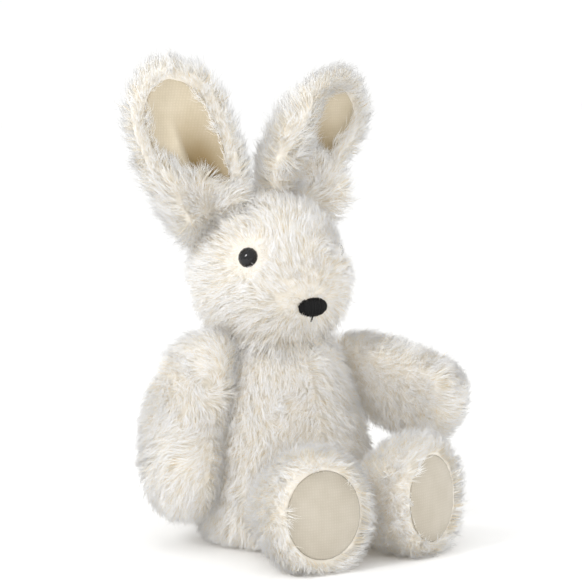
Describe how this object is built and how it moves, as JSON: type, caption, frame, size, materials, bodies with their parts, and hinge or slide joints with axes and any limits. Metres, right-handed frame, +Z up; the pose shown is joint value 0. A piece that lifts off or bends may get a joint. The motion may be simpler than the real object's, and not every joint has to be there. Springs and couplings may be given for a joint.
{
  "type": "stuffed bunny rabbit",
  "caption": "Sitting plush rabbit with long fur, upright lined ears, floppy sewn arms and legs with velour soles, glossy eyes and a stitched nose.",
  "frame": {"origin": "Middle of the flat seat base, on the surface that the rabbit sits on.", "axes": "+Z is up, -Y is the way the rabbit faces, and +X is the rabbit's left side."},
  "size_m": [0.1784, 0.1647, 0.2785],
  "materials": {
    "plush": "long off-white pile on a knitted backing, beige deep in the pile",
    "velour": "short cream pile on the soles and ear linings",
    "stuffing": "loose white polyester fibre",
    "pellets": "cloth bag of small plastic pellets",
    "eye": "polished black plastic",
    "washer": "moulded locking washer",
    "thread": "black embroidery thread with a satin sheen"
  },
  "bodies": {
    "torso": {"torso_front_left": "plush", "torso_front_right": "plush", "torso_back_left": "plush", "torso_back_right": "plush", "seat_base": "plush", "torso_stuffing": "stuffing", "seat_pellet_bag": "pellets", "tail_cover": "plush", "tail_stuffing": "stuffing"},
    "head": {"head_side_left": "plush", "head_side_right": "plush", "head_gusset": "plush", "chin_panel": "plush", "head_stuffing": "stuffing", "eye_left": "eye", "eye_right": "eye", "eye_washer_left": "washer", "eye_washer_right": "washer", "nose_stitching": "thread", "mouth_stitch": "thread"},
    "left_ear": {"ear_back_left": "plush", "ear_lining_left": "velour"},
    "right_ear": {"ear_back_right": "plush", "ear_lining_right": "velour"},
    "left_arm": {"arm_outer_left": "plush", "arm_inner_left": "plush", "arm_stuffing_left": "stuffing"},
    "right_arm": {"arm_outer_right": "plush", "arm_inner_right": "plush", "arm_stuffing_right": "stuffing"},
    "left_leg": {"leg_outer_left": "plush", "leg_inner_left": "plush", "leg_stuffing_left": "stuffing", "sole_left": "velour"},
    "right_leg": {"leg_outer_right": "plush", "leg_inner_right": "plush", "leg_stuffing_right": "stuffing", "sole_right": "velour"}
  },
  "joints": [
    {"name": "neck_twist", "type": "hinge", "parent": "torso", "child": "head", "pos_m": [0, 0.011, 0.11], "axis": [0, 0, 1], "range_deg": [-30, 30], "stiffness_Nm_per_rad": 0.08},
    {"name": "ear_left_fold", "type": "hinge", "parent": "head", "child": "left_ear", "pos_m": [0.0221, 0.03336, 0.18197], "axis": [0.9702, 0.24, 0.0334], "range_deg": [-25, 25], "stiffness_Nm_per_rad": 0.05},
    {"name": "ear_right_fold", "type": "hinge", "parent": "head", "child": "right_ear", "pos_m": [-0.02611, 0.03339, 0.18135], "axis": [0.8813, -0.3257, 0.3425], "range_deg": [-25, 25], "stiffness_Nm_per_rad": 0.05},
    {"name": "shoulder_left", "type": "hinge", "parent": "torso", "child": "left_arm", "pos_m": [0.038, 0.006, 0.1], "axis": [0.9005, 0.4002, 0.1701], "range_deg": [-45, 60]},
    {"name": "shoulder_right", "type": "hinge", "parent": "torso", "child": "right_arm", "pos_m": [-0.038, 0.006, 0.1], "axis": [-0.9005, 0.4002, 0.1701], "range_deg": [-95, 35]},
    {"name": "hip_left", "type": "hinge", "parent": "torso", "child": "left_leg", "pos_m": [0.025, -0.0355, 0.024], "axis": [0.9131, 0.4078, 0], "range_deg": [-40, 40]},
    {"name": "hip_right", "type": "hinge", "parent": "torso", "child": "right_leg", "pos_m": [-0.025, -0.0355, 0.024], "axis": [0.9131, -0.4078, 0], "range_deg": [-40, 40]}
  ]
}
